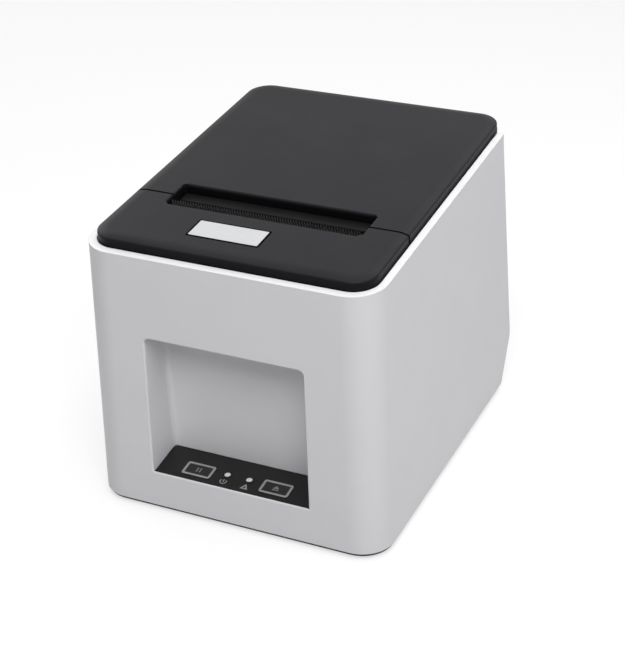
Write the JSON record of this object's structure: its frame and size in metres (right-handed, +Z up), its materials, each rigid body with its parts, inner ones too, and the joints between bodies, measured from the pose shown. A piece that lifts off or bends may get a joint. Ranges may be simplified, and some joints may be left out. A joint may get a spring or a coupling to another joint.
{
  "type": "receipt printer",
  "caption": "Desktop receipt printer: pale one-piece case with a front key recess, dark crowned covers, a paper exit with a tear bar, and the print mechanism inside.",
  "frame": {"origin": "on the table under the middle of the case: centre of the bounding box's bottom face", "axes": "+Z up; the front face with the key recess looks towards -Y; +Y runs back along the case's depth, its longest side; +X is to the right seen from the front"},
  "size_m": [0.1374, 0.1672, 0.1391],
  "materials": {
    "shell_white": "fine satin grain",
    "base_black": "fine grain",
    "panel_charcoal": "fine grain",
    "cover_charcoal": "fine grain",
    "plate_silver": "satin",
    "steel_strip": "fine brushed",
    "key_panel": "fine grain",
    "light_pipe": "milky",
    "board_green": "solder mask",
    "switch_grey": "moulded",
    "shaft_steel": "turned",
    "motor_can": "zinc plated",
    "frame_steel": "zinc plated sheet",
    "spring_steel": "wire",
    "bin_black": "smooth moulded",
    "sensor_black": "moulded",
    "chip_black": "moulded",
    "socket_black": "moulded",
    "socket_steel": "plated",
    "foot_rubber": "moulded",
    "screw_steel": "zinc plated",
    "frame_black": "plain moulded",
    "bush_acetal": "moulded acetal",
    "platen_rubber": "ground",
    "gear_acetal": "moulded acetal",
    "pinion_brass": "hobbed",
    "head_ceramic": "glazed line",
    "heatsink_aluminium": "extruded",
    "key_black": "fine grain",
    "rocker_black": "polished"
  },
  "bodies": {
    "case": {"outer_shell": "shell_white", "base_case": "base_black", "rear_panel": "panel_charcoal", "front_cover": "cover_charcoal", "name_plate": "plate_silver", "tear_bar": "steel_strip", "control_panel": "key_panel", "light_pipes": "light_pipe", "key_board": "board_green", "key_switches": "switch_grey", "gear_post": "shaft_steel", "feed_motor": "motor_can", "mechanism_frame": "frame_steel", "head_pin": "shaft_steel", "head_springs": "spring_steel", "paper_bin": "bin_black", "hinge_pins": "shaft_steel", "paper_sensor": "sensor_black", "main_board": "board_green", "board_chips": "chip_black", "power_inlet": "socket_black", "usb_socket": "socket_steel", "drawer_socket": "socket_black", "rocker_housing": "socket_black", "rubber_feet": "foot_rubber", "base_screws": "screw_steel", "frame_screws": "screw_steel"},
    "cover": {"paper_cover": "cover_charcoal", "cover_frame": "frame_black", "platen_bushes": "bush_acetal"},
    "platen": {"platen_roller": "platen_rubber", "platen_shaft": "shaft_steel", "platen_gear": "gear_acetal"},
    "reduction": {"reduction_gear": "gear_acetal"},
    "pinion": {"motor_pinion": "pinion_brass"},
    "head": {"print_head": "head_ceramic", "head_heatsink": "heatsink_aluminium"},
    "pause_button": {"pause_key": "key_black"},
    "feed_button": {"feed_key": "key_black"},
    "rocker": {"power_rocker": "rocker_black"}
  },
  "joints": [
    {"name": "cover_hinge", "type": "hinge", "parent": "case", "child": "cover", "pos_m": [0, 0.0624, 0.11201], "axis": [-1, 0, 0], "range_deg": [0, 78]},
    {"name": "platen_spin", "type": "hinge", "parent": "cover", "child": "platen", "pos_m": [0, -0.0316, 0.112], "axis": [1, 0, 0], "continuous": true},
    {"name": "reduction_spin", "type": "hinge", "parent": "case", "child": "reduction", "pos_m": [0, -0.0316, 0.1017], "axis": [1, 0, 0], "continuous": true},
    {"name": "pinion_spin", "type": "hinge", "parent": "case", "child": "pinion", "pos_m": [0, -0.0376, 0.0821], "axis": [1, 0, 0], "continuous": true},
    {"name": "head_pivot", "type": "hinge", "parent": "case", "child": "head", "pos_m": [0, -0.0411, 0.0985], "axis": [1, 0, 0], "range_deg": [0, 1.5], "stiffness_Nm_per_rad": 6, "springref_deg": -1.72, "deforming": ["head_springs"]},
    {"name": "pause_key_press", "type": "slide", "parent": "case", "child": "pause_button", "axis": [0, 0.1132, -0.9936], "range_m": [0, 0.0005], "stiffness_N_per_m": 1200, "springref_m": -0.0006},
    {"name": "feed_key_press", "type": "slide", "parent": "case", "child": "feed_button", "axis": [0, 0.1132, -0.9936], "range_m": [0, 0.0005], "stiffness_N_per_m": 1200, "springref_m": -0.0006},
    {"name": "rocker_tilt", "type": "hinge", "parent": "case", "child": "rocker", "pos_m": [-0.049, 0.07583, 0.04547], "axis": [0, -0.1337, 0.991], "range_deg": [-16, 0]}
  ],
  "couplings": [
    {"joint": "reduction_spin", "follows": "platen_spin", "ratio": -1.125},
    {"joint": "pinion_spin", "follows": "platen_spin", "ratio": 4.3393}
  ]
}
